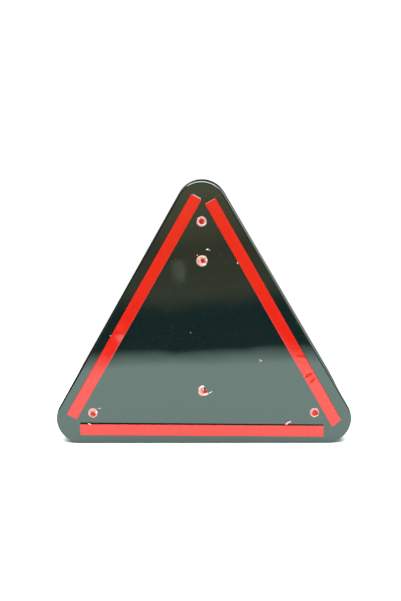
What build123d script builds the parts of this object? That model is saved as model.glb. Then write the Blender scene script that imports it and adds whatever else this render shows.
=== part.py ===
from build123d import *
import os
from collections import namedtuple
from math import cos, radians, sin, sqrt, tan

# Triangular rear reflector with an adhesive back, in millimetres.
# It is upright, as it is mounted: X across, Z up, the adhesive back faces -Y and the reflex
# lens faces +Y. The origin is the middle of the lower edge, halfway through the depth.

# Outline: three round corners centred on an equilateral triangle
corner_spacing = 129.4
corner_radius = 13.3
corner_distance = corner_spacing / sqrt(3)
centre_height = corner_spacing / (2 * sqrt(3)) + corner_radius

# Housing: a flat floor, a rim around it and a smaller rim around the central well
rim_depth = 10.8
rim_wall = 1.8
floor_thickness = 1.8
back_edge_round = 1.0
rim_edge_round = 0.5
well_corner_distance = 27.0
well_corner_radius = 2.5
well_wall = 1.4

# Lens: a face plate on skirts, with five bosses that end in pins
lens_proud = 0.8
lens_face = 2.4
lens_skirt = 1.5
lens_edge_round = 0.7
fit_gap = 0.15
boss_radius = 2.4
pin_radius = 1.5
pin_hole_radius = 1.6

# Heat stakes: three at the corners and two on the centre line
corner_stake_distance = 67.5
upper_stake_height = 47.3
lower_stake_height = -21.7
corner_head_radius = 2.75
middle_head_radius = 3.1
head_height = 0.8
head_edge_round = 0.35
head_dimple_depth = 0.35
head_dimple_share = 0.55

# Adhesive strips: foam tape under a release liner
tape_width = 6.0
foam_thickness = 1.2
liner_thickness = 0.12

# Levels along Y, from the liners at the back to the lens at the front
total_depth = liner_thickness + foam_thickness + rim_depth + lens_proud
foam_level = -total_depth / 2 + liner_thickness
back_level = foam_level + foam_thickness
floor_level = back_level + floor_thickness
rim_level = back_level + rim_depth
lens_level = rim_level + lens_proud

os.makedirs("parts", exist_ok=True)


def layer(level):
    """Plane across the reflector at a level, centred on the triangle and facing the back."""
    return Plane(origin=(0, level, centre_height), x_dir=(1, 0, 0), z_dir=(0, -1, 0))


def triangle(to_corner_centre, radius, mode=Mode.ADD):
    """Equilateral triangle with its apex up and round corners."""
    corner_centres = RegularPolygon(to_corner_centre, 3, rotation=90, mode=Mode.PRIVATE)
    offset(corner_centres, amount=radius, mode=mode)


def stake_place(angle):
    """Place of a corner stake on the triangle's face."""
    return (corner_stake_distance * cos(radians(angle)), corner_stake_distance * sin(radians(angle)))


stakes = {
    "top": (stake_place(90), corner_head_radius),
    "left": (stake_place(210), corner_head_radius),
    "right": (stake_place(330), corner_head_radius),
    "upper": ((0, upper_stake_height), middle_head_radius),
    "lower": ((0, lower_stake_height), middle_head_radius),
}
stake_places = [place for place, head_radius in stakes.values()]

# Each strip was laid by hand, so it lies a little unevenly. Angles are in degrees: normal is
# the direction from the centre to the strip's side, and each slant is of a cut end.
Strip = namedtuple("Strip", "normal from_centre shift length tilt start_slant end_slant")
strips = {
    "left": Strip(150, from_centre=42.3, shift=-1.6, length=134.3, tilt=0.12, start_slant=-1.5, end_slant=-2),
    "right": Strip(30, from_centre=41.9, shift=-1.9, length=134.6, tilt=0.8, start_slant=-12, end_slant=0),
    "bottom": Strip(-90, from_centre=43.2, shift=-1.0, length=128.5, tilt=0.45, start_slant=-1, end_slant=0),
}


def strip_plane(strip, level):
    """Plane of an adhesive strip, with its X along the strip."""
    out = Vector(cos(radians(strip.normal)), 0, sin(radians(strip.normal)))
    along = Vector(-sin(radians(strip.normal)), 0, cos(radians(strip.normal)))
    middle = Vector(0, level, centre_height) + out * strip.from_centre + along * strip.shift
    direction = along * cos(radians(strip.tilt)) + out * sin(radians(strip.tilt))
    return Plane(origin=middle, x_dir=direction, z_dir=(0, -1, 0))


def strip_outline(strip):
    """Long rectangle whose short ends are cut a little out of square."""
    half_length = strip.length / 2
    half_width = tape_width / 2
    start = half_width * tan(radians(strip.start_slant))
    end = half_width * tan(radians(strip.end_slant))
    Polygon(
        (-half_length - start, -half_width),
        (half_length - end, -half_width),
        (half_length + end, half_width),
        (-half_length + start, half_width),
        align=None,
    )


with BuildPart() as housing:
    with BuildSketch(layer(rim_level)):
        triangle(corner_distance, corner_radius)
    extrude(amount=rim_depth)
    with BuildSketch(layer(rim_level)):
        triangle(corner_distance, corner_radius - rim_wall)
    extrude(amount=rim_depth - floor_thickness, mode=Mode.SUBTRACT)
    with BuildSketch(layer(rim_level)):
        triangle(well_corner_distance, well_corner_radius + well_wall)
        triangle(well_corner_distance, well_corner_radius, mode=Mode.SUBTRACT)
    extrude(amount=rim_depth - floor_thickness)
    with BuildSketch(layer(floor_level)):
        with Locations(*stake_places):
            Circle(pin_hole_radius)
    extrude(amount=floor_thickness, mode=Mode.SUBTRACT)
    back_face = housing.faces().sort_by(Axis.Y)[0]
    fillet(back_face.outer_wire().edges(), back_edge_round)
    rim_faces = housing.faces().filter_by_position(Axis.Y, rim_level, rim_level)
    fillet(rim_faces.sort_by(SortBy.AREA)[-1].outer_wire().edges(), rim_edge_round)
housing.part.label = "housing"
export_step(housing.part, "parts/housing.step")

with BuildPart() as lens:
    with BuildSketch(layer(lens_level)):
        triangle(corner_distance, corner_radius - rim_wall - fit_gap)
        triangle(well_corner_distance, well_corner_radius + well_wall + fit_gap, mode=Mode.SUBTRACT)
    extrude(amount=lens_level - floor_level)
    with BuildSketch(layer(lens_level - lens_face)):
        triangle(corner_distance, corner_radius - rim_wall - fit_gap - lens_skirt)
        triangle(
            well_corner_distance,
            well_corner_radius + well_wall + fit_gap + lens_skirt,
            mode=Mode.SUBTRACT,
        )
        with Locations(*stake_places):
            Circle(boss_radius, mode=Mode.SUBTRACT)
    extrude(amount=lens_level - lens_face - floor_level, mode=Mode.SUBTRACT)
    with BuildSketch(layer(floor_level)):
        with Locations(*stake_places):
            Circle(pin_radius)
    extrude(amount=floor_thickness)
    front_face = lens.faces().sort_by(Axis.Y)[-1]
    fillet(front_face.edges(), lens_edge_round)
lens.part.label = "lens"
export_step(lens.part, "parts/lens.step")

for name, (place, head_radius) in stakes.items():
    with BuildPart() as stake_head:
        with BuildSketch(layer(back_level)):
            with Locations(place):
                Circle(head_radius)
        extrude(amount=head_height)
        fillet(stake_head.edges().sort_by(Axis.Y)[0], head_edge_round)
        with BuildSketch(layer(back_level - head_height)):
            with Locations(place):
                Circle(head_radius * head_dimple_share)
        extrude(amount=-head_dimple_depth, taper=30, mode=Mode.SUBTRACT)
    stake_head.part.label = f"stake_head_{name}"
    export_step(stake_head.part, f"parts/stake_head_{name}.step")

for side, strip in strips.items():
    with BuildPart() as foam_tape:
        with BuildSketch(strip_plane(strip, back_level)):
            strip_outline(strip)
        extrude(amount=foam_thickness)
    foam_tape.part.label = f"foam_tape_{side}"
    export_step(foam_tape.part, f"parts/foam_tape_{side}.step")

    with BuildPart() as liner:
        with BuildSketch(strip_plane(strip, foam_level)):
            strip_outline(strip)
        extrude(amount=liner_thickness)
    liner.part.label = f"liner_{side}"
    export_step(liner.part, f"parts/liner_{side}.step")
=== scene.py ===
import math
import random
from collections import namedtuple

import bmesh
import bpy
from mathutils import Matrix, Vector, noise


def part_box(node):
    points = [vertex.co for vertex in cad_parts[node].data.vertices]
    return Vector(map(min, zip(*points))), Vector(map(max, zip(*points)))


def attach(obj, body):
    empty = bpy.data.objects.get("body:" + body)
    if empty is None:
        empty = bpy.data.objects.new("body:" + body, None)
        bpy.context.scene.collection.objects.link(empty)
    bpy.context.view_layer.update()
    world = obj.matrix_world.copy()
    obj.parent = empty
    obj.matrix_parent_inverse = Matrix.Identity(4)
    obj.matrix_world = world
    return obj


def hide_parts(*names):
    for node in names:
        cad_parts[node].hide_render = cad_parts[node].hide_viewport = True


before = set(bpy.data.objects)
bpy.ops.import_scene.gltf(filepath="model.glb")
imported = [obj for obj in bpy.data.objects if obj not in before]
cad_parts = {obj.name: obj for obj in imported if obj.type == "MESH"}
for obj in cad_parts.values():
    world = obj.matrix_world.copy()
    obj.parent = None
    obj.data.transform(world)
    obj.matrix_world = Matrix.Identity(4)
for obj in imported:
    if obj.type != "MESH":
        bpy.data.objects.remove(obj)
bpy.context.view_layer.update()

MM = 0.001
ROOT3 = math.sqrt(3)

# The body's outline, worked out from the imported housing: three round corners centred on an
# equilateral triangle, whose middle is at CENTRE.
housing_low, housing_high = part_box("housing")
lens_low, lens_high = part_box("lens")
outline_width = housing_high.x - housing_low.x
outline_height = housing_high.z - housing_low.z
CORNER_SPACING = (outline_width - outline_height) / (1 - ROOT3 / 2)
CORNER_RADIUS = (outline_width - CORNER_SPACING) / 2
BACK = housing_low.y
CENTRE = Vector((0, BACK, CORNER_SPACING / (2 * ROOT3) + CORNER_RADIUS))
OUT = Vector((0, -1, 0))


# ---------------------------------------------------------------- helpers for meshes


def add_mesh(name, vertices, faces, material, body="root"):
    """A smooth-shaded mesh piece, given where it stands at rest, that rides on a body."""
    mesh = bpy.data.meshes.new(name)
    mesh.from_pydata([tuple(v) for v in vertices], [], faces)
    mesh.validate()
    mesh.shade_smooth()
    mesh.materials.append(material)
    piece = bpy.data.objects.new(name, mesh)
    bpy.context.scene.collection.objects.link(piece)
    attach(piece, body)
    return piece


def set_attribute(piece, name, values):
    """A number on every vertex, which the piece's material reads."""
    attribute = piece.data.attributes.new(name, "FLOAT", "POINT")
    attribute.data.foreach_set("value", values)


def direction_at(angle):
    """Direction in the plate's plane, at an angle in radians from +X towards +Z."""
    return Vector((math.cos(angle), 0, math.sin(angle)))


def bump_curve(x, centre, width):
    """Smooth bump of height 1 about centre."""
    return math.exp(-(((x - centre) / width) ** 2))


# ---------------------------------------------------------------- helpers for materials


def add_node(tree, kind, inputs=(), **settings):
    """A node with its settings and its inputs, which are numbers or other nodes' outputs."""
    made = tree.nodes.new(kind)
    for key, value in settings.items():
        setattr(made, key, value)
    for key, value in dict(inputs).items():
        if isinstance(value, bpy.types.NodeSocket):
            tree.links.new(value, made.inputs[key])
        else:
            made.inputs[key].default_value = value
    return made


def mix_colors(tree, share, first, second, blend_type="MIX"):
    """Blends two colours, each of three numbers or another node's output."""
    inputs = {0: share}
    for socket, color in ((6, first), (7, second)):
        inputs[socket] = (*color, 1) if isinstance(color, tuple) else color
    mixed = add_node(tree, "ShaderNodeMix", inputs, data_type="RGBA", blend_type=blend_type)
    return mixed.outputs[2]


def fade(tree, value, start, full):
    """0 where a value is at start, 1 where it is at full, and even between."""
    limits = {"Value": value, "From Min": start, "From Max": full}
    return add_node(tree, "ShaderNodeMapRange", limits).outputs["Result"]


class Shader:
    """A material's node tree with short calls for the nodes that are used here."""

    def __init__(self, name, color, roughness, **sockets):
        self.material = bpy.data.materials.new(name)
        self.material.use_nodes = True
        self.tree = self.material.node_tree
        self.nodes = self.tree.nodes
        self.links = self.tree.links
        self.surface = self.nodes["Principled BSDF"]
        self.surface.inputs["Base Color"].default_value = (*color, 1)
        self.surface.inputs["Roughness"].default_value = roughness
        for socket, value in sockets.items():
            self.surface.inputs[socket.replace("_", " ")].default_value = value
        self.coordinates = self.nodes.new("ShaderNodeTexCoord").outputs["Object"]

    def node(self, kind, inputs=(), **settings):
        """A node in this material."""
        return add_node(self.tree, kind, inputs, **settings)

    def noise(self, scale, detail=3, roughness=0.5, stretch=(1, 1, 1), turn=(0, 0, 0)):
        """Noise of that many features a metre; stretch lengthens it along an axis."""
        mapping = self.node(
            "ShaderNodeMapping",
            {
                "Vector": self.coordinates,
                "Rotation": [math.radians(angle) for angle in turn],
                "Scale": [1 / s for s in stretch],
            },
        )
        inputs = {
            "Vector": mapping.outputs[0],
            "Scale": scale,
            "Detail": detail,
            "Roughness": roughness,
        }
        return self.node("ShaderNodeTexNoise", inputs).outputs["Fac"]

    def ramp(self, factor, stops):
        """Maps a number to another through (place, value) stops."""
        made = self.node("ShaderNodeValToRGB", {"Fac": factor})
        elements = made.color_ramp.elements
        while len(elements) < len(stops):
            elements.new(0.5)
        for element, (place, value) in zip(elements, stops):
            color = value if isinstance(value, tuple) else (value, value, value)
            element.position = place
            element.color = (*color, 1)
        return made.outputs["Color"]

    def math(self, operation, first, second):
        """A sum, product or the like of two numbers or nodes' outputs."""
        return self.node("ShaderNodeMath", {0: first, 1: second}, operation=operation).outputs[0]

    def mix(self, share, first, second):
        """A blend of two colours."""
        return mix_colors(self.tree, share, first, second)

    def bump(self, height, distance, before=None, strength=1.0):
        """Bump of a height in metres, on top of an earlier bump."""
        inputs = {"Height": height, "Distance": distance, "Strength": strength}
        if before is not None:
            inputs["Normal"] = before
        return self.node("ShaderNodeBump", inputs).outputs["Normal"]

    def scratch(self, ends, width):
        """1 on a straight scratch on the back between two ends, and 0 away from it."""
        start, end = ends
        along = (end - start).normalized()
        across = Vector((-along.z, 0, along.x))
        middle = (start + end) / 2
        inputs = {0: self.coordinates, 1: middle}
        from_middle = self.node("ShaderNodeVectorMath", inputs, operation="SUBTRACT").outputs[0]
        shares = []
        for direction, reach in ((along, (end - start).length / 2), (across, width / 2)):
            inputs = {0: from_middle, 1: direction}
            dot = self.node("ShaderNodeVectorMath", inputs, operation="DOT_PRODUCT")
            far = self.math("DIVIDE", self.math("ABSOLUTE", dot.outputs["Value"], 0.0), reach)
            shares.append(self.math("LESS_THAN", far, 1.0))
        return self.math("MULTIPLY", *shares)

    def set(self, **sockets):
        """Drives inputs of the surface with other nodes' outputs."""
        for socket, value in sockets.items():
            self.links.new(value, self.surface.inputs[socket.replace("_", " ")])

    def show_blend(self, share, first, second):
        """Makes the material a blend of two shaders in place of the surface alone."""
        blend = self.node("ShaderNodeMixShader", {0: share, 1: first, 2: second})
        output = next(node for node in self.nodes if node.type == "OUTPUT_MATERIAL")
        self.links.new(blend.outputs[0], output.inputs["Surface"])


# ---------------------------------------------------------------- materials


def make_black_plastic():
    """Polished black ABS: a nearly flat mirror with a slow waviness, smudges and dust."""
    base, dust_color = (0.0022, 0.0034, 0.0030), (0.10, 0.11, 0.10)
    shader = Shader("black_plastic", base, 0.06, IOR=1.78)
    shader.surface.inputs["Specular Tint"].default_value = (0.80, 1.0, 0.94, 1)
    smudges = shader.noise(55, 5, 0.6)
    wipes = shader.noise(130, 4, 0.6, stretch=(6, 1, 1), turn=(0, 35, 0))
    dust = shader.ramp(shader.noise(2600, 1, 0.5), [(0.0, 0.0), (0.755, 0.0), (0.80, 1.0)])
    haze = shader.math("MULTIPLY", shader.math("ADD", smudges, wipes), 0.03)
    knife = shader.scratch(KNIFE_MARK, KNIFE_WIDTH)
    marks = shader.math("MAXIMUM", dust, shader.math("MULTIPLY", knife, 0.4))
    shader.set(Roughness=shader.math("ADD", haze, shader.math("MULTIPLY", marks, 0.4)))
    shader.set(Base_Color=shader.mix(marks, base, dust_color))
    sway = shader.bump(shader.noise(11, 1, 0.3), 0.00055)
    slow = shader.bump(shader.noise(45, 2, 0.4), 0.00005, sway)
    shader.set(Normal=shader.bump(shader.noise(900, 2, 0.5), 0.0000015, slow))
    return shader.material


def make_liner_film():
    """Red polyethylene film: saturated, smooth, faintly drawn along its length."""
    shader = Shader("red_film", (0.45, 0.006, 0.0004), 0.1, IOR=1.56)
    mottle = shader.noise(520, 4, 0.65)
    shader.set(Base_Color=shader.mix(mottle, (0.405, 0.0040, 0.0002), (0.49, 0.0080, 0.0005)))
    shader.set(Roughness=shader.ramp(shader.noise(260, 4, 0.6), [(0.3, 0.06), (0.75, 0.14)]))
    slow = shader.bump(shader.noise(110, 2, 0.5), 0.00002)
    shader.set(Normal=shader.bump(shader.noise(2400, 3, 0.6), 0.000002, slow))
    return shader.material


def make_foam():
    """Black closed-cell foam with small open cells on its cut sides, their hollows darkened with painted
    shade.
    """
    shader = Shader("black_foam", (0.004, 0.004, 0.004), 0.9, Specular_IOR_Level=0.04)
    inputs = {"Vector": shader.coordinates, "Scale": 4200.0}
    cells = shader.node("ShaderNodeTexVoronoi", inputs).outputs["Distance"]
    dark, light = (0.001, 0.001, 0.001), (0.006, 0.0065, 0.0065)
    # Painted shade: darkest in the middle of each cell, where the bump dips deepest.
    shader.set(Base_Color=shader.ramp(cells, [(0.0, dark), (0.6, light)]))
    shader.set(Normal=shader.bump(cells, 0.00008))
    return shader.material


def make_adhesive():
    """Pale acrylic adhesive, on the foam's face under the film."""
    shader = Shader("adhesive", (0.18, 0.24, 0.21), 0.3, IOR=1.47)
    shader.set(Base_Color=shader.mix(shader.noise(900, 3), (0.14, 0.19, 0.165), (0.26, 0.34, 0.30)))
    shader.set(Normal=shader.bump(shader.noise(1500, 2), 0.00003))
    return shader.material


def make_melted_lens():
    """Red acrylic that was melted and pressed: clear red where thick, whitened where stressed, and
    painted white along some edges as highlights.
    """
    shader = Shader("melted_lens", (0.4, 0.01, 0.01), 0.3, IOR=1.49)
    white = shader.node("ShaderNodeAttribute", attribute_name="whiteness").outputs["Fac"]
    crazing = shader.noise(2600, 4, 0.7)
    speckle = shader.math("MULTIPLY", shader.math("SUBTRACT", crazing, 0.5), 0.7)
    # The whiteness holds real whitening and the painted highlights of the heads' streaks.
    strain_and_highlight = shader.math("ADD", white, speckle)
    color = shader.ramp(
        strain_and_highlight,
        [
            (0.0, (0.26, 0.0005, 0.002)),
            (0.20, (0.50, 0.006, 0.008)),
            (0.42, (0.50, 0.11, 0.09)),
            (0.66, (0.40, 0.28, 0.245)),
            (0.95, (0.55, 0.50, 0.45)),
        ],
    )
    shader.set(Base_Color=color)
    shader.set(Roughness=shader.ramp(strain_and_highlight, [(0.2, 0.15), (0.7, 0.5)]))
    shader.set(Normal=shader.bump(crazing, 0.00006))
    return shader.material


def make_lens():
    """Clear red acrylic: tinted and see-through, with a polished skin."""
    shader = Shader("red_lens", (0.35, 0.004, 0.004), 0.05, IOR=1.49)
    shader.set(Roughness=shader.ramp(shader.noise(70, 4, 0.6), [(0.3, 0.02), (0.8, 0.09)]))
    shader.set(Normal=shader.bump(shader.noise(14, 1, 0.4), 0.00008))
    tint = shader.node("ShaderNodeBsdfTransparent", {"Color": (0.97, 0.05, 0.04, 1)})
    # The tint doesn't bend rays, so the real index would make the inner skin a full mirror at 45
    # degrees. A low one keeps the prisms in sight there.
    gloss = shader.node("ShaderNodeFresnel", {"IOR": 1.12})
    skin = shader.math("ADD", shader.math("MULTIPLY", gloss.outputs[0], 0.8), 0.06)
    shader.show_blend(skin, tint.outputs[0], shader.surface.outputs[0])
    return shader.material


def make_prisms():
    """The lens's inner prism faces, which throw the light back, with painted shade: darker towards their
    tips, and lighter or darker face by face.
    """
    shader = Shader("reflex_prisms", (0.95, 0.02, 0.02), 0.1, IOR=1.49, Metallic=0.15)
    facet_shade_and_tone = shader.node("ShaderNodeAttribute", attribute_name="facet_shade_and_tone").outputs["Fac"]
    place = shader.node("ShaderNodeSeparateXYZ", {0: shader.coordinates}).outputs["Y"]
    # Painted shade: the faces darken from the pits' rims towards their tips, on top of each face's own
    # painted shade from the mesh.
    forward = fade(shader.tree, place, PRISM_FRONT - PRISM_DEPTH, PRISM_FRONT)
    lift = shader.math("SUBTRACT", shader.math("MULTIPLY", forward, 0.8), 0.4)
    shade = shader.math("ADD", facet_shade_and_tone, lift)
    dark, light = (0.20, 0.002, 0.002), (1.0, 0.07, 0.05)
    shader.set(Base_Color=shader.ramp(shade, [(0.05, dark), (1.0, light)]))
    shader.set(Roughness=shader.ramp(shader.noise(600, 2), [(0.3, 0.05), (0.7, 0.12)]))
    return shader.material


# The thickness of the lens's face, the same as in CAD, and the cube corners behind it: the gap
# to them, their pitch, their depth and how far forward they reach
LENS_FACE = 2.4 * MM
PRISM_GAP = 0.05 * MM
PRISM_PITCH = 2.6 * MM
PRISM_DEPTH = PRISM_PITCH * math.sqrt(2 / 3)
PRISM_FRONT = lens_high.y - LENS_FACE - PRISM_GAP

# Where the knife that trimmed the right strip ran on over the plate
KNIFE_MARK = (Vector((6.5, 0, 130.3)) * MM, Vector((11.2, 0, 132.8)) * MM)
KNIFE_WIDTH = 0.16 * MM

black_plastic = make_black_plastic()
liner_film = make_liner_film()
foam = make_foam()
adhesive = make_adhesive()
melted_lens = make_melted_lens()
red_lens = make_lens()
prisms = make_prisms()


def paint(node, material):
    """Gives a CAD node its material."""
    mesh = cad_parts[node].data
    mesh.materials.clear()
    mesh.materials.append(material)


paint("housing", black_plastic)
paint("lens", red_lens)


# ---------------------------------------------------------------- adhesive strips

# As laid by hand, in millimetres and degrees, the same as the CAD strips. normal is the
# direction from the centre to the strip's side, and each slant is of a cut end.
Strip = namedtuple("Strip", "normal from_centre shift length tilt start_slant end_slant")
STRIPS = {
    "left": Strip(150, 42.3, -1.6, 134.3, 0.12, -1.5, -2),
    "right": Strip(30, 41.9, -1.9, 134.6, 0.8, -12, 0),
    "bottom": Strip(-90, 43.2, -1.0, 128.5, 0.45, -1, 0),
}
TAPE_WIDTH = 6.0 * MM
foam_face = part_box("foam_tape_left")[0].y
film_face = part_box("liner_left")[0].y
FOAM_THICKNESS = BACK - foam_face
FILM_THICKNESS = foam_face - film_face

# Bumps in each film, in millimetres: place along the strip from its middle, height, width,
# how far the bump slants over half the strip's width, and where across the strip it is, from
# -1 to 1, with its reach there.
Dent = namedtuple("Dent", "place height width slant across reach")
DENTS = {
    "left": [Dent(14.0, 0.28, 3.3, 0.0, 0.15, 1.2)],
    "right": [
        Dent(-37.8, 0.20, 1.05, 0.3, 0.25, 0.65),
        Dent(-41.3, 0.21, 1.05, -0.5, 0.2, 0.65),
        Dent(-26.0, 0.04, 1.0, 3.0, -0.3, 0.6),
        Dent(-16.0, 0.03, 8.0, 0.0, 0.0, 2.0),
    ],
    "bottom": [Dent(35.0, 0.05, 3.0, 0.0, -1.0, 0.3), Dent(-27.0, 0.05, 2.0, 0.0, -1.0, 0.3)],
}
# How far the film stops short of the foam's start and end
FILM_TRIM = {"left": (0.5 * MM, 0), "right": (0, 0.12 * MM), "bottom": (0, 0)}
# How far the foam's start and end stick out from under the film, inward
FOAM_SKEW = {"left": (0, 0.08 * MM), "right": (0, 0), "bottom": (0.5 * MM, 0.25 * MM)}
# How far the film's underside lies below the foam's full height, and how much further it sways,
# ripples and droops at its edges
FILM_SETTLE = 0.27 * MM
FILM_SWAY = 0.05 * MM
FILM_RIPPLE = 0.010 * MM
FILM_DROOP = 0.05 * MM
# Where across the film, from 0 to 1, its edges start to droop
DROOP_START = 0.93
# Steps along the film, and rows across half of it, closer together where it droops
FILM_STEPS = 560
FILM_EDGE_ROWS = [0.3, 0.6, 0.8, 0.9, 0.95, 0.98, 1.0]
# How far the foam's sides lie inside the film's edge, and how hollow and ragged they are
FOAM_INSET = 0.08 * MM
FOAM_HOLLOW = 0.14 * MM
FOAM_RAGGED = 0.05 * MM
# The foam's face, just under the film at its lowest
FOAM_TOP = FOAM_THICKNESS - FILM_SETTLE - FILM_SWAY - FILM_RIPPLE - 0.01 * MM
# Steps along the foam and up its sides
FOAM_STEPS = 300
FOAM_LAYERS = 6
# Rows across the foam; its face is bare foam in the outermost two and sticky between them
FOAM_ROWS = [-1, -0.8, -0.4, 0, 0.4, 0.8, 1]


def strip_axes(strip):
    """Middle of the strip on the back face, and its directions along and across, inward."""
    normal = math.radians(strip.normal)
    tilt = math.radians(strip.tilt)
    out = direction_at(normal)
    along = Vector((-math.sin(normal), 0, math.cos(normal)))
    middle = CENTRE + (out * strip.from_centre + along * strip.shift) * MM
    direction = along * math.cos(tilt) + out * math.sin(tilt)
    across = Vector((-direction.z, 0, direction.x))
    return middle, direction, across


def strip_point(strip, u, v, height, trim=(0, 0)):
    """Point of the strip at u and v from -1 to 1, that high over the back face. trim draws
    its start and its end back by a length."""
    middle, along, across = strip_axes(strip)
    half_length = strip.length * MM / 2
    half_width = TAPE_WIDTH / 2
    start = -half_length + trim[0] + v * half_width * math.tan(math.radians(strip.start_slant))
    end = half_length - trim[1] + v * half_width * math.tan(math.radians(strip.end_slant))
    place = start + (end - start) * (u + 1) / 2
    return middle + along * place + across * (v * half_width) + OUT * height


def spread(count):
    """Even steps from -1 to 1."""
    return [2 * i / count - 1 for i in range(count + 1)]


def film_height(name, along, v):
    """Height of the film's underside over the back, at a distance along the strip."""
    seed = len(name)
    sway = 0.5 + 0.5 * noise.noise(Vector((along * 55, v * 0.8, seed)))
    ripple = 0.5 + 0.5 * noise.noise(Vector((along * 260, v * 1.1, 3.0 + seed)))
    droop = (max(0.0, abs(v) - DROOP_START) / (1 - DROOP_START)) ** 2
    height = FOAM_THICKNESS - FILM_SETTLE
    height -= FILM_SWAY * sway + FILM_RIPPLE * ripple + FILM_DROOP * droop
    for dent in DENTS[name]:
        lengthwise = bump_curve(along / MM - dent.slant * v, dent.place, dent.width)
        crosswise = bump_curve(v, dent.across, dent.reach)
        height += dent.height * MM * lengthwise * crosswise
    return height


def make_liner(name, strip):
    """Release liner: a thin film over the foam, with bumps, ripples and drooping edges."""
    us = spread(FILM_STEPS)
    vs = [-v for v in reversed(FILM_EDGE_ROWS)] + [0.0] + FILM_EDGE_ROWS
    vertices = []
    for thickness in (FILM_THICKNESS, 0):
        for u in us:
            for v in vs:
                height = film_height(name, u * strip.length * MM / 2, v) + thickness
                vertices.append(strip_point(strip, u, v, height, FILM_TRIM[name]))
    columns, rows = len(us) - 1, len(vs) - 1
    below = len(us) * len(vs)

    def at(i, j):
        return i * len(vs) + j

    faces = []
    for i in range(columns):
        for j in range(rows):
            quad = [at(i, j), at(i + 1, j), at(i + 1, j + 1), at(i, j + 1)]
            faces.append(quad)
            faces.append([below + k for k in reversed(quad)])
    rim = [at(i, 0) for i in range(columns)] + [at(columns, j) for j in range(rows)]
    rim += [at(i, rows) for i in range(columns, 0, -1)] + [at(0, j) for j in range(rows, 0, -1)]
    for first, second in zip(rim, rim[1:] + rim[:1]):
        faces.append([first, below + first, below + second, second])
    piece = add_mesh(f"liner_film_{name}", vertices, faces, liner_film, f"liner_{name}")
    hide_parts(f"liner_{name}")


def foam_point(name, strip, u, v, w):
    """Point of a foam strip, at u along and v across it from -1 to 1 and w up from 0 to 1."""
    across = strip_axes(strip)[2]
    spot = strip_point(strip, u, v, FOAM_TOP * w)
    if abs(v) == 1:
        ragged = abs(noise.noise(spot * 1400)) * FOAM_RAGGED
        hollow = FOAM_HOLLOW * math.sin(math.pi * w)
        spot -= across * v * (FOAM_INSET + hollow + ragged)
    start, end = FOAM_SKEW[name]
    return spot + across * (start + (end - start) * (u + 1) / 2)


def make_foam_tape(name, strip):
    """Foam strip with hollow sides, ragged from the knife, and adhesive on its face."""
    columns, layers, rows = FOAM_STEPS, FOAM_LAYERS, len(FOAM_ROWS) - 1
    vertices, faces, index = [], [], {}

    def corner(i, j, k):
        if (i, j, k) not in index:
            index[i, j, k] = len(vertices)
            vertices.append(foam_point(name, strip, 2 * i / columns - 1, FOAM_ROWS[j], k / layers))
        return index[i, j, k]

    def quad(*corners):
        faces.append([corner(*c) for c in corners])

    # The sticky rows of the face come first, so that their faces are the first ones of the mesh
    for j in list(range(1, rows - 1)) + [0, rows - 1]:
        for i in range(columns):
            quad((i, j, layers), (i + 1, j, layers), (i + 1, j + 1, layers), (i, j + 1, layers))
    sticky_faces = columns * (rows - 2)
    for i in range(columns):
        for j in range(rows):
            quad((i, j + 1, 0), (i + 1, j + 1, 0), (i + 1, j, 0), (i, j, 0))
        for k in range(layers):
            quad((i, 0, k), (i + 1, 0, k), (i + 1, 0, k + 1), (i, 0, k + 1))
            quad((i, rows, k + 1), (i + 1, rows, k + 1), (i + 1, rows, k), (i, rows, k))
    for j in range(rows):
        for k in range(layers):
            quad((0, j, k), (0, j, k + 1), (0, j + 1, k + 1), (0, j + 1, k))
            quad((columns, j, k + 1), (columns, j, k), (columns, j + 1, k), (columns, j + 1, k + 1))
    piece = add_mesh(f"foam_strip_{name}", vertices, faces, foam)
    piece.data.materials.append(adhesive)
    for face in piece.data.polygons[:sticky_faces]:
        face.material_index = 1
        face.use_smooth = False
    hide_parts(f"foam_tape_{name}")


for strip_name, strip in STRIPS.items():
    make_foam_tape(strip_name, strip)
    make_liner(strip_name, strip)


# ---------------------------------------------------------------- heat stakes

HEAD_HEIGHT = 0.8 * MM
# How far a head's foot reaches into the plate
HEAD_FOOT = 0.06 * MM
HEAD_RINGS, HEAD_SPOKES = 34, 96
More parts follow.
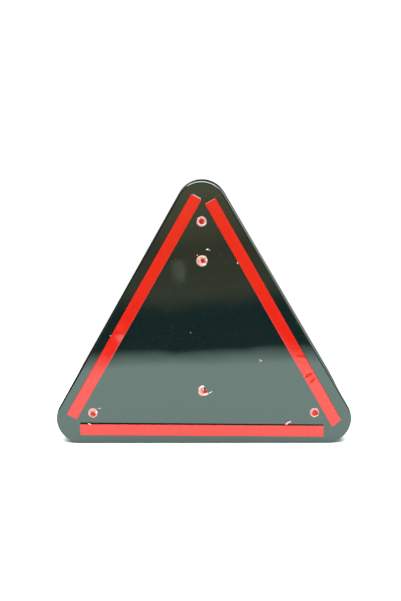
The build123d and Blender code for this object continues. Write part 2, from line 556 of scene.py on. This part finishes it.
# A stake's head, in shares of its radius: where its red core lies and how large it is, how
# white its rim is, white streaks as (x, z, x, z, width), partly whitened plastic and partly
# painted highlights along edges, pits as (x, z, size), the sectors that broke away as (start,
# end, inner reach) in degrees and shares, and the direction in degrees and distance of a side
# pressed flat.
Head = namedtuple("Head", "core rim_white streaks pits gaps flat")
HEADS = {
    "top": Head(
        core=(0.02, 0.06, 0.50),
        rim_white=0.62,
        streaks=[(0.55, -0.62, 0.82, -0.35, 0.12)],
        pits=[(-0.13, 0.2, 0.12), (0.22, 0.22, 0.12), (-0.08, -0.14, 0.12), (0.2, -0.12, 0.12)],
        gaps=[],
        flat=None,
    ),
    "upper": Head(
        core=(0.20, 0.05, 0.40),
        rim_white=0.66,
        streaks=[(0.5, 0.1, 0.95, 0.16, 0.09), (0.3, -0.6, 0.65, -0.66, 0.12)],
        pits=[
            (0.12, 0.12, 0.13),
            (-0.62, 0.2, 0.1),
            (-0.55, -0.25, 0.1),
            (-0.35, -0.55, 0.08),
            (0.3, -0.2, 0.1),
        ],
        gaps=[],
        flat=None,
    ),
    "lower": Head(
        core=(0.34, -0.04, 0.34),
        rim_white=0.66,
        streaks=[
            (-0.35, 0.72, 0.02, 0.9, 0.12),
            (-0.02, 0.2, 0.1, 0.3, 0.07),
            (0.3, -0.66, 0.62, -0.55, 0.1),
        ],
        pits=[(0.34, 0.0, 0.16), (-0.08, -0.22, 0.2), (-0.22, 0.3, 0.12), (-0.2, 0.06, 0.12)],
        gaps=[(-30, 82, 0.58), (24, 82, 0.22)],
        flat=(180, 0.84),
    ),
    "left": Head(
        core=(0.06, -0.2, 0.48),
        rim_white=0.6,
        streaks=[(0.68, 0.42, 0.86, 0.12, 0.1)],
        pits=[(0.02, -0.22, 0.16), (0.45, 0.38, 0.08)],
        gaps=[],
        flat=None,
    ),
    "right": Head(
        core=(0.12, -0.02, 0.55),
        rim_white=0.56,
        streaks=[(-0.2, -0.82, 0.62, -0.52, 0.09)],
        pits=[
            (0.12, 0.22, 0.1),
            (0.3, 0.05, 0.1),
            (-0.15, -0.15, 0.09),
            (0.1, -0.3, 0.1),
            (-0.1, 0.65, 0.07),
        ],
        gaps=[],
        flat=(-68, 0.86),
    ),
}


def distance_to_line(x, z, ends):
    """Distance of a point from a line between two ends."""
    x0, z0, x1, z1 = ends
    dx, dz = x1 - x0, z1 - z0
    share = min(1.0, max(0.0, ((x - x0) * dx + (z - z0) * dz) / (dx * dx + dz * dz)))
    return math.hypot(x - x0 - share * dx, z - z0 - share * dz)


def smooth_step(x, low, high):
    """0 below low, 1 above high and smooth between."""
    share = min(1.0, max(0.0, (x - low) / (high - low)))
    return share * share * (3 - 2 * share)


def head_relief(head, x, z, share, seed):
    """Height, as a share of the head's, and whiteness at a place on it. x and z are in shares of
    its radius, share is how far out the place is, and seed moves the noise."""
    lumps = noise.noise(Vector((x, z, 0)) * 3.2 + seed)
    grain = noise.noise(Vector((x, z, 0)) * 9 + seed)
    core_x, core_z, core_size = head.core
    from_core = math.hypot(x - core_x, z - core_z) / core_size
    crest = bump_curve(share, 0.76, 0.20)
    height = 0.40 + 0.42 * crest + 0.16 * lumps + 0.05 * grain
    white = head.rim_white * smooth_step(from_core, 0.7, 1.35) + 0.22 * lumps + 0.18 * grain
    # The streaks are painted white: partly whitened plastic, partly painted highlights on edges.
    for *ends, width in head.streaks:
        white_and_highlight_streak = bump_curve(distance_to_line(x, z, ends), 0, width)
        white += 0.6 * white_and_highlight_streak
        height += 0.12 * white_and_highlight_streak
    for pit_x, pit_z, size in head.pits:
        pit = bump_curve(math.hypot(x - pit_x, z - pit_z), 0, size)
        white -= 0.5 * pit
        height -= 0.18 * pit
    height *= 1 - smooth_step(share, 0.84, 1.0) ** 2
    degrees = math.degrees(math.atan2(z, x)) + 16 * grain
    for start, end, reach in head.gaps:
        sides = smooth_step(min(degrees - start, end - degrees), 0, 9)
        height *= 1 - sides * smooth_step(share + 0.12 * lumps, reach, reach + 0.1)
    return height, white


def head_middle(name):
    """Middle of a CAD stake head."""
    low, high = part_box(f"stake_head_{name}")
    return (low + high) / 2


def rim_reach(head, angle, seed):
    """How far a head's ragged rim reaches in a direction, as a share of its radius."""
    ray = Vector((math.cos(angle), math.sin(angle), 0))
    reach = 0.97 + 0.05 * noise.noise(ray * 1.6 + seed) - 0.04 * abs(noise.noise(ray * 4 + seed))
    if head.flat is not None:
        towards, side = head.flat
        slope = math.cos(angle - math.radians(towards))
        if slope > 0.5:
            reach = min(reach, side / slope)
    return reach


def make_stake_head(name, head):
    """Melted end of a lens pin: a squashed, cratered disc with a ragged whitened rim."""
    low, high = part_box(f"stake_head_{name}")
    middle = head_middle(name)
    radius = (high.x - low.x) / 2
    rings, spokes = HEAD_RINGS, HEAD_SPOKES
    seed = Vector((len(name) * 7.3, 1.7, 0.4))
    vertices, whiteness = [], []
    for ring in range(rings + 1):
        share = ring / rings
        for spoke in range(1 if ring == 0 else spokes):
            angle = 2 * math.pi * spoke / spokes
            reach = share * rim_reach(head, angle, seed)
            x, z = math.cos(angle) * reach, math.sin(angle) * reach
            height, white = head_relief(head, x, z, share, seed)
            depth = HEAD_HEIGHT * max(0.0, min(1.0, height)) if ring < rings else 0
            spot = (middle.x + x * radius, BACK + HEAD_FOOT - depth, middle.z + z * radius)
            vertices.append(spot)
            whiteness.append(white)

    def at(ring, spoke):
        return 1 + (ring - 1) * spokes + spoke % spokes

    faces = [[0, at(1, s), at(1, s + 1)] for s in range(spokes)]
    for ring in range(1, rings):
        for s in range(spokes):
            faces.append([at(ring, s), at(ring + 1, s), at(ring + 1, s + 1), at(ring, s + 1)])
    faces.append([at(rings, s) for s in reversed(range(spokes))])
    piece = add_mesh(f"melted_head_{name}", vertices, faces, melted_lens)
    set_attribute(piece, "whiteness", whiteness)
    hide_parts(f"stake_head_{name}")


for head_name, head in HEADS.items():
    make_stake_head(head_name, head)


# Crumbs of melted lens left on the back, in millimetres: the head that each is placed from, its
# place from there across and up, its size across and up, its height over the back and how white
# it is.
Crumb = namedtuple("Crumb", "by x z width length lift white")
CRUMBS = [
    Crumb("upper", 18.2, -1.1, 0.5, 0.9, 0.9, 1.0),
    Crumb("upper", 2.75, 5.9, 1.3, 0.7, 0.0, 1.0),
    Crumb("upper", 3.9, 5.45, 0.7, 0.45, 0.0, 0.7),
    Crumb("upper", -2.3, 2.9, 0.9, 0.5, 0.0, 0.5),
    Crumb("left", 3.9, 2.6, 1.0, 0.5, 0.0, 0.8),
    Crumb("left", 2.9, 2.55, 1.0, 0.3, 0.0, 0.5),
    Crumb("right", -28.4, 28.5, 1.6, 0.3, 0.0, 1.0),
    Crumb("right", -27.7, 28.0, 0.35, 0.3, 0.0, 1.0),
    Crumb("right", -28.9, 27.5, 0.3, 0.3, 0.0, 1.0),
    Crumb("upper", -6.2, -37.6, 0.35, 0.35, 0.0, 1.0),
    Crumb("left", 10.6, 41.9, 0.9, 0.2, 0.0, 1.0),
]
# Strands drawn off the melted heads, in millimetres: the head that each is placed from, its
# points across and up from there and their height over the back, its thickness and how white it is.
Strand = namedtuple("Strand", "by points thickness white")
HEAD_STRAND = Strand(
    "lower",
    [
        (1.2, -2.2, 0.3),
        (2.2, -1.8, 0.3),
        (3.0, -1.2, 0.3),
        (3.7, -1.0, 0.3),
        (4.3, -0.6, 0.3),
        (4.9, -0.1, 0.3),
    ],
    0.66,
    0.7,
)
# What lies on the bottom film's upper edge: a short flake and a thicker strand
FILM_STRANDS = [
    Strand(
        "left",
        [(-2.5, -5.5, 0.9), (-1.9, -5.7, 1.0), (-1.3, -6.0, 1.05), (-0.8, -6.2, 1.05)],
        0.48,
        1.0,
    ),
    Strand(
        "right",
        [
            (-15.1, -6.5, 0.8),
            (-14.6, -5.8, 0.8),
            (-13.8, -5.2, 0.72),
            (-12.9, -4.8, 0.62),
            (-12.2, -4.75, 0.55),
        ],
        1.15,
        0.6,
    ),
]


def lumpy_blob(middle, size, seed, turn):
    """Vertices and faces of a small closed lump."""
    made = bmesh.new()
    bmesh.ops.create_icosphere(made, subdivisions=3, radius=1.0)
    for vertex in made.verts:
        vertex.co *= 1 + 0.45 * noise.noise(vertex.co * 1.4 + seed)
    shape = Matrix.Rotation(turn, 3, "Y") @ Matrix.Diagonal(size)
    vertices = [middle + shape @ vertex.co for vertex in made.verts]
    faces = [[v.index for v in face.verts] for face in made.faces]
    made.free()
    return vertices, faces


def smooth_path(points, steps):
    """Points of a smooth curve that passes through the given ones, after Catmull and Rom."""
    padded = [points[0] * 2 - points[1]] + points + [points[-1] * 2 - points[-2]]
    path = []
    for before, start, end, after in zip(padded, padded[1:], padded[2:], padded[3:]):
        slope = end - before
        bend = before * 2 - start * 5 + end * 4 - after
        twist = start * 3 - before - end * 3 + after
        for step in range(steps):
            t = step / steps
            path.append(start + (slope * t + bend * t**2 + twist * t**3) / 2)
    path.append(points[-1])
    return path


def drawn_strand(points, thickness):
    """Vertices and faces of a closed strand that thins towards its end."""
    spokes = 10
    path = smooth_path(points, 6)
    vertices = []
    for k, spot in enumerate(path):
        following = path[min(k + 1, len(path) - 1)]
        ahead = (following - path[max(k - 1, 0)]).normalized()
        side = ahead.cross(OUT)
        share = k / (len(path) - 1)
        size = thickness * (1.1 - 0.45 * share + 0.35 * noise.noise(spot * 1300)) / 2
        size *= 0.35 if k in (0, len(path) - 1) else 1
        for spoke in range(spokes):
            angle = 2 * math.pi * spoke / spokes
            vertices.append(spot + (side * math.cos(angle) + OUT * (0.7 * math.sin(angle))) * size)
    faces = [list(range(spokes)), [len(vertices) - 1 - k for k in range(spokes)]]
    for ring in range(len(path) - 1):
        for spoke in range(spokes):
            corner = ring * spokes + spoke
            beside = ring * spokes + (spoke + 1) % spokes
            faces.append([corner, corner + spokes, beside + spokes, beside])
    return vertices, faces


def crumb_lump(crumb, draw):
    """Vertices and faces of a crumb in its place."""
    middle = head_middle(crumb.by) + Vector((crumb.x, 0, crumb.z)) * MM
    middle.y = BACK - (crumb.lift + 0.1) * MM
    size = Vector((crumb.width / 2, 0.16, crumb.length / 2)) * MM
    seed = Vector((draw.uniform(0, 9), draw.uniform(0, 9), 0))
    return lumpy_blob(middle, size, seed, math.radians(draw.uniform(-25, 25)))


def strand_lump(strand):
    """Vertices and faces of a strand in its place."""
    middle = head_middle(strand.by)
    middle.y = BACK
    points = [middle + Vector((x, -lift, z)) * MM for x, z, lift in strand.points]
    return drawn_strand(points, strand.thickness * MM)


def make_debris(name, body, lumps):
    """One piece of several lumps, given with how white each is."""
    vertices, faces, whiteness = [], [], []
    for (lump_vertices, lump_faces), white in lumps:
        first = len(vertices)
        vertices.extend(lump_vertices)
        faces.extend([[first + k for k in face] for face in lump_faces])
        whiteness.extend([white] * len(lump_vertices))
    piece = add_mesh(name, vertices, faces, melted_lens, body)
    set_attribute(piece, "whiteness", whiteness)


crumb_draw = random.Random(7)
crumb_lumps = [(crumb_lump(crumb, crumb_draw), crumb.white) for crumb in CRUMBS]
film_lumps = [(strand_lump(strand), strand.white) for strand in FILM_STRANDS]
make_debris("stake_crumbs", "root", crumb_lumps + [(strand_lump(HEAD_STRAND), HEAD_STRAND.white)])
make_debris("film_flakes", "liner_bottom", film_lumps)


# ---------------------------------------------------------------- lens prisms

# The lens ring and the open well inside it, the same as in CAD
LENS_SKIRT = 1.5 * MM
WELL_CORNER_DISTANCE = 27.0 * MM
WELL_WALL_OUTSIDE = (2.5 + 1.4) * MM
FIT_GAP = 0.15 * MM
BOSS_RADIUS = 2.4 * MM
# What the prism panels leave free along their edges and between them, and how thick they are
PRISM_MARGIN = 0.35 * MM
PANEL_SEAM = 0.3 * MM
PRISM_WALL = 0.35 * MM


def cube_corner_sheet(angle, reach):
    """Open sheet of cube corners around the centre, facing +Y, with rows along the given
    direction. Each cell is a six-sided pit of three square faces."""
    cell_radius = PRISM_PITCH / ROOT3
    step = PRISM_DEPTH / 2
    bosses = [head_middle(name) for name in HEADS]
    boss_reach = BOSS_RADIUS + cell_radius
    across = direction_at(angle)
    up = Vector((-math.sin(angle), 0, math.cos(angle)))
    sheet = bmesh.new()
    facet_shades_and_tones = sheet.faces.layers.float.new("facet_shade_and_tone")
    index = {}

    def vertex(x, z, depth):
        key = (round(x / MM, 3), round(z / MM, 3), round(depth / MM, 3))
        if key not in index:
            place = CENTRE + across * x + up * z
            index[key] = sheet.verts.new((place.x, -depth, place.z))
        return index[key]

    count = int(reach / (cell_radius * 1.5)) + 1
    for row in range(-count, count + 1):
        for column in range(-count, count + 1):
            x = (column + 0.5 * (row % 2)) * PRISM_PITCH
            z = row * cell_radius * 1.5
            place = CENTRE + across * x + up * z
            if any(math.hypot(place.x - b.x, place.z - b.z) <= boss_reach for b in bosses):
                continue
            ring = []
            for k in range(6):
                spoke = math.radians(90 + 60 * k)
                rim_x = x + cell_radius * math.cos(spoke)
                rim_z = z + cell_radius * math.sin(spoke)
                ring.append(vertex(rim_x, rim_z, 0.0 if k % 2 else step))
            apex = vertex(x, z, 2 * step)
            for k in (0, 2, 4):
                face = sheet.faces.new([apex, ring[k], ring[k + 1], ring[(k + 2) % 6]])
                # Each of a cell's three faces gets a painted shade of its own, lighter or darker by
                # which way it faces, plus a random tone.
                mottle = noise.noise(Vector((place.x, k * MM, place.z)) * 900)
                face[facet_shades_and_tones] = 0.25 + 0.16 * k + 0.45 * mottle
    return sheet


def cut_sheet(sheet, point, outward):
    """Takes off what lies beyond a plane."""
    geometry = list(sheet.verts) + list(sheet.edges) + list(sheet.faces)
    cut = {"plane_co": point, "plane_no": outward, "clear_outer": True}
    bmesh.ops.bisect_plane(sheet, geom=geometry, **cut)


def cut_to_ring(sheet, side):
    """Cuts a sheet to one side's third of the lens ring, between its edges and the seams with
    the next panels. side is the angle of the direction from the centre to the side."""
    normal = direction_at(side)
    outer = CENTRE.z - lens_low.z - LENS_SKIRT - PRISM_MARGIN
    inner = WELL_CORNER_DISTANCE / 2 + WELL_WALL_OUTSIDE + FIT_GAP + LENS_SKIRT + PRISM_MARGIN
    cut_sheet(sheet, CENTRE + normal * outer, normal)
    cut_sheet(sheet, CENTRE + normal * inner, -normal)
    corner_distance = CORNER_SPACING / ROOT3
    corner_radius = outer - corner_distance / 2
    for turn in (-1, 1):
        ray = direction_at(side + turn * math.radians(60))
        beside = Vector((-ray.z, 0, ray.x)) * turn
        cut_sheet(sheet, CENTRE - beside * PANEL_SEAM / 2, beside)
        corner = CENTRE + ray * corner_distance
        for part in range(1, 7):
            away = direction_at(side + turn * math.radians(10 * part))
            cut_sheet(sheet, corner + away * corner_radius, away)


def make_prism_panel(name, side):
    """One side's third of the lens ring in cube corners, with a thin wall behind."""
    sheet = cube_corner_sheet(side + math.radians(90), CORNER_SPACING)
    cut_to_ring(sheet, side)
    bmesh.ops.translate(sheet, verts=sheet.verts, vec=(0, PRISM_FRONT, 0))
    front = list(sheet.faces)
    grown = bmesh.ops.extrude_face_region(sheet, geom=front, use_keep_orig=True)
    back = [v for v in grown["geom"] if isinstance(v, bmesh.types.BMVert)]
    bmesh.ops.translate(sheet, verts=back, vec=(0, -PRISM_WALL, 0))
    bmesh.ops.recalc_face_normals(sheet, faces=sheet.faces)
    mesh = bpy.data.meshes.new(f"reflex_prisms_{name}")
    sheet.to_mesh(mesh)
    sheet.free()
    mesh.materials.append(prisms)
    piece = bpy.data.objects.new(mesh.name, mesh)
    bpy.context.scene.collection.objects.link(piece)
    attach(piece, "root")


for strip_name, strip in STRIPS.items():
    make_prism_panel(strip_name, math.radians(strip.normal))


# ---------------------------------------------------------------- room, light and camera

# How far the table top reaches from the reflector, the band over which it then fades out, how
# far that band waves and how much its front and back edges are turned
TABLE_FRONT = 0.167
TABLE_BACK = 0.11
TABLE_WIDTH = 0.45
TABLE_FADE = 0.050
TABLE_WAVE = 0.02
TABLE_SKEW = 0.12


def make_floor():
    """Pale table top, white in the room's light, that ends a little way off."""
    shader = Shader("pale_floor", (0.76, 0.86, 0.82), 0.6)
    shader.set(Base_Color=shader.mix(shader.noise(9, 3), (0.74, 0.85, 0.805), (0.78, 0.88, 0.84)))
    shader.set(Normal=shader.bump(shader.noise(1400, 3), 0.00002))
    split = shader.node("ShaderNodeSeparateXYZ", {0: shader.coordinates}).outputs
    wavy = shader.math("MULTIPLY", shader.noise(14, 1), TABLE_WAVE)
    skewed = shader.math("ADD", split["Y"], shader.math("MULTIPLY", split["X"], TABLE_SKEW))
    beside = shader.math("ABSOLUTE", split["X"], 0.0)
    in_front = shader.math("MULTIPLY", skewed, -1.0)
    share = 1.0
    for place, reach in ((beside, TABLE_WIDTH), (in_front, TABLE_FRONT), (skewed, TABLE_BACK)):
        away = shader.math("ADD", place, wavy)
        share = shader.math("MULTIPLY", share, fade(shader.tree, away, reach + TABLE_FADE, reach))
    clear = shader.node("ShaderNodeBsdfTransparent")
    shader.show_blend(share, clear.outputs[0], shader.surface.outputs[0])
    width = TABLE_WIDTH + TABLE_FADE
    depth = TABLE_FRONT + TABLE_FADE + TABLE_SKEW * width
    corners = [(-width, -depth, 0), (width, -depth, 0), (width, depth, 0), (-width, depth, 0)]
    mesh = bpy.data.meshes.new("floor")
    mesh.from_pydata(corners, [], [[0, 1, 2, 3]])
    mesh.materials.append(shader.material)
    floor = bpy.data.objects.new("floor", mesh)
    bpy.context.scene.collection.objects.link(floor)


# Colours of the room that shows in glossy surfaces, at the sine of the angle over the horizon
ROOM_LOW, ROOM_HIGH = -0.5, 1.0
ROOM = [
    (-0.32, (0.50, 0.46, 0.38)),
    (-0.27, (0.34, 0.33, 0.28)),
    (-0.25, (0.07, 0.19, 0.19)),
    (-0.205, (0.06, 0.17, 0.17)),
    (-0.185, (0.46, 0.44, 0.30)),
    (-0.14, (0.41, 0.34, 0.21)),
    (-0.09, (0.92, 0.78, 0.48)),
    (-0.03, (0.30, 0.29, 0.22)),
    (0.06, (0.07, 0.08, 0.07)),
    (0.28, (0.05, 0.06, 0.06)),
    (0.42, (0.75, 0.80, 0.76)),
    (1.0, (1.1, 1.1, 1.1)),
]
CLUTTER = 0.06
# Parts of the room that differ: the direction from the reflector, the cosines of the angle from
# it where the part begins and where it is full, its colour and how that goes onto the room's
Part = namedtuple("Part", "direction start full color blend_type")
DARK_CORNER = Part((0.10, 0.97, -0.20), 0.92, 0.97, (0.10, 0.11, 0.10), "MULTIPLY")
LIT_WALL = Part((0.93, 0.33, 0.15), 0.62, 0.78, (2.1, 2.25, 2.15), "ADD")
# A small pale thing in front: its direction's X and Z, its half sizes in them and its colour
PALE_THING = (-0.0456, -0.1693)
PALE_THING_SIZE = (0.0045, 0.0100)
PALE_THING_EDGE = 0.3
PALE_THING_COLOR = (0.42, 0.48, 0.33)


def color_by_height(tree, direction, height):
    """The room's own colour, which changes with the height and a little at random."""
    clutter = add_node(tree, "ShaderNodeTexNoise", {"Vector": direction, "Scale": 4.0, "Detail": 1.0})
    inputs = {0: clutter.outputs["Fac"], 1: CLUTTER, 2: height}
    shifted = add_node(tree, "ShaderNodeMath", inputs, operation="MULTIPLY_ADD").outputs[0]
    share = fade(tree, shifted, ROOM_LOW + CLUTTER / 2, ROOM_HIGH + CLUTTER / 2)
    ramp = add_node(tree, "ShaderNodeValToRGB", {"Fac": share})
    elements = ramp.color_ramp.elements
    while len(elements) < len(ROOM):
        elements.new(0.5)
    for element, (sine, color) in zip(elements, ROOM):
        element.position = (sine - ROOM_LOW) / (ROOM_HIGH - ROOM_LOW)
        element.color = (*color, 1)
    return ramp.outputs["Color"]


def pale_thing_share(tree, split):
    """1 in the directions of the small pale thing and 0 in all others."""

    def math_node(operation, first, second=0.0):
        return add_node(tree, "ShaderNodeMath", {0: first, 1: second}, operation=operation).outputs[0]

    reaches = []
    for axis, place, size in zip("XZ", PALE_THING, PALE_THING_SIZE):
        away = math_node("ABSOLUTE", math_node("SUBTRACT", split[axis], place))
        reaches.append(math_node("DIVIDE", away, size))
    inside = fade(tree, math_node("MAXIMUM", *reaches), 1 + PALE_THING_EDGE, 1 - PALE_THING_EDGE)
    return math_node("MULTIPLY", inside, math_node("LESS_THAN", split["Y"]))


def room_color(tree, direction):
    """Colour of the room in a direction."""
    split = add_node(tree, "ShaderNodeSeparateXYZ", {0: direction}).outputs
    color = color_by_height(tree, direction, split["Z"])
    for part in (DARK_CORNER, LIT_WALL):
        inputs = {0: direction, 1: part.direction}
        cosine = add_node(tree, "ShaderNodeVectorMath", inputs, operation="DOT_PRODUCT").outputs["Value"]
        share = fade(tree, cosine, part.start, part.full)
        color = mix_colors(tree, share, color, part.color, part.blend_type)
    return mix_colors(tree, pale_thing_share(tree, split), color, PALE_THING_COLOR, "ADD")


WHITE = (1, 1, 1, 1)
SOFT_LIGHT = 0.7


def make_world():
    """White behind everything, an even soft light, and a dim room in the reflections."""
    world = bpy.data.worlds.new("studio")
    bpy.context.scene.world = world
    world.use_nodes = True
    tree = world.node_tree
    tree.nodes.clear()
    direction = add_node(tree, "ShaderNodeTexCoord").outputs["Generated"]
    room = add_node(tree, "ShaderNodeBackground", {"Color": room_color(tree, direction)}).outputs[0]
    soft = add_node(tree, "ShaderNodeBackground", {"Color": WHITE, "Strength": SOFT_LIGHT}).outputs[0]
    white = add_node(tree, "ShaderNodeBackground", {"Color": WHITE}).outputs[0]
    rays = add_node(tree, "ShaderNodeLightPath").outputs
    lit = add_node(tree, "ShaderNodeMixShader", {0: rays["Is Glossy Ray"], 1: soft, 2: room})
    inputs = {0: rays["Is Camera Ray"], 1: lit.outputs[0], 2: white}
    seen = add_node(tree, "ShaderNodeMixShader", inputs)
    add_node(tree, "ShaderNodeOutputWorld", {"Surface": seen.outputs[0]})


# The one lamp, a wide soft light above and a little in front
LAMP_PLACE = Vector((0.0, -0.28, 1.1))
LAMP_TARGET = Vector((0.0, -0.05, 0.0))
LAMP_SIZE = (1.5, 1.2)
LAMP_POWER = 47


def make_lamp():
    """Wide soft light from above."""
    light = bpy.data.lights.new("overhead", "AREA")
    light.shape = "RECTANGLE"
    light.size, light.size_y = LAMP_SIZE
    light.energy = LAMP_POWER
    lamp = bpy.data.objects.new("overhead", light)
    lamp.location = LAMP_PLACE
    lamp.rotation_mode = "QUATERNION"
    lamp.rotation_quaternion = (LAMP_TARGET - LAMP_PLACE).to_track_quat("-Z", "Y")
    lamp.visible_camera = False
    bpy.context.scene.collection.objects.link(lamp)


# The camera as fitted to the photograph: where it stands, its lens in millimetres, and in
# degrees how far it stands round to the right, how far it looks down and its roll
CAMERA_PLACE = (0.0124, -0.5104, 0.1808)
CAMERA_LENS = 60
CAMERA_AZIMUTH = 1.51
CAMERA_ELEVATION = 11.57
CAMERA_ROLL = -0.56


def make_camera():
    """Half a metre from the back and a little above it, looking slightly down."""
    camera = bpy.data.objects.new("camera", bpy.data.cameras.new("camera"))
    camera.data.lens = CAMERA_LENS
    camera.data.clip_start = 0.01
    camera.location = CAMERA_PLACE
    azimuth, elevation = math.radians(CAMERA_AZIMUTH), math.radians(CAMERA_ELEVATION)
    back = Vector((
        math.sin(azimuth) * math.cos(elevation),
        -math.cos(azimuth) * math.cos(elevation),
        math.sin(elevation),
    ))
    camera.rotation_mode = "QUATERNION"
    aim = (-back).to_track_quat("-Z", "Y")
    roll = Matrix.Rotation(math.radians(CAMERA_ROLL), 3, "Z").to_quaternion()
    camera.rotation_quaternion = aim @ roll
    bpy.context.scene.collection.objects.link(camera)
    bpy.context.scene.camera = camera


make_floor()
make_world()
make_lamp()
make_camera()
bpy.context.scene.view_settings.view_transform = "Standard"
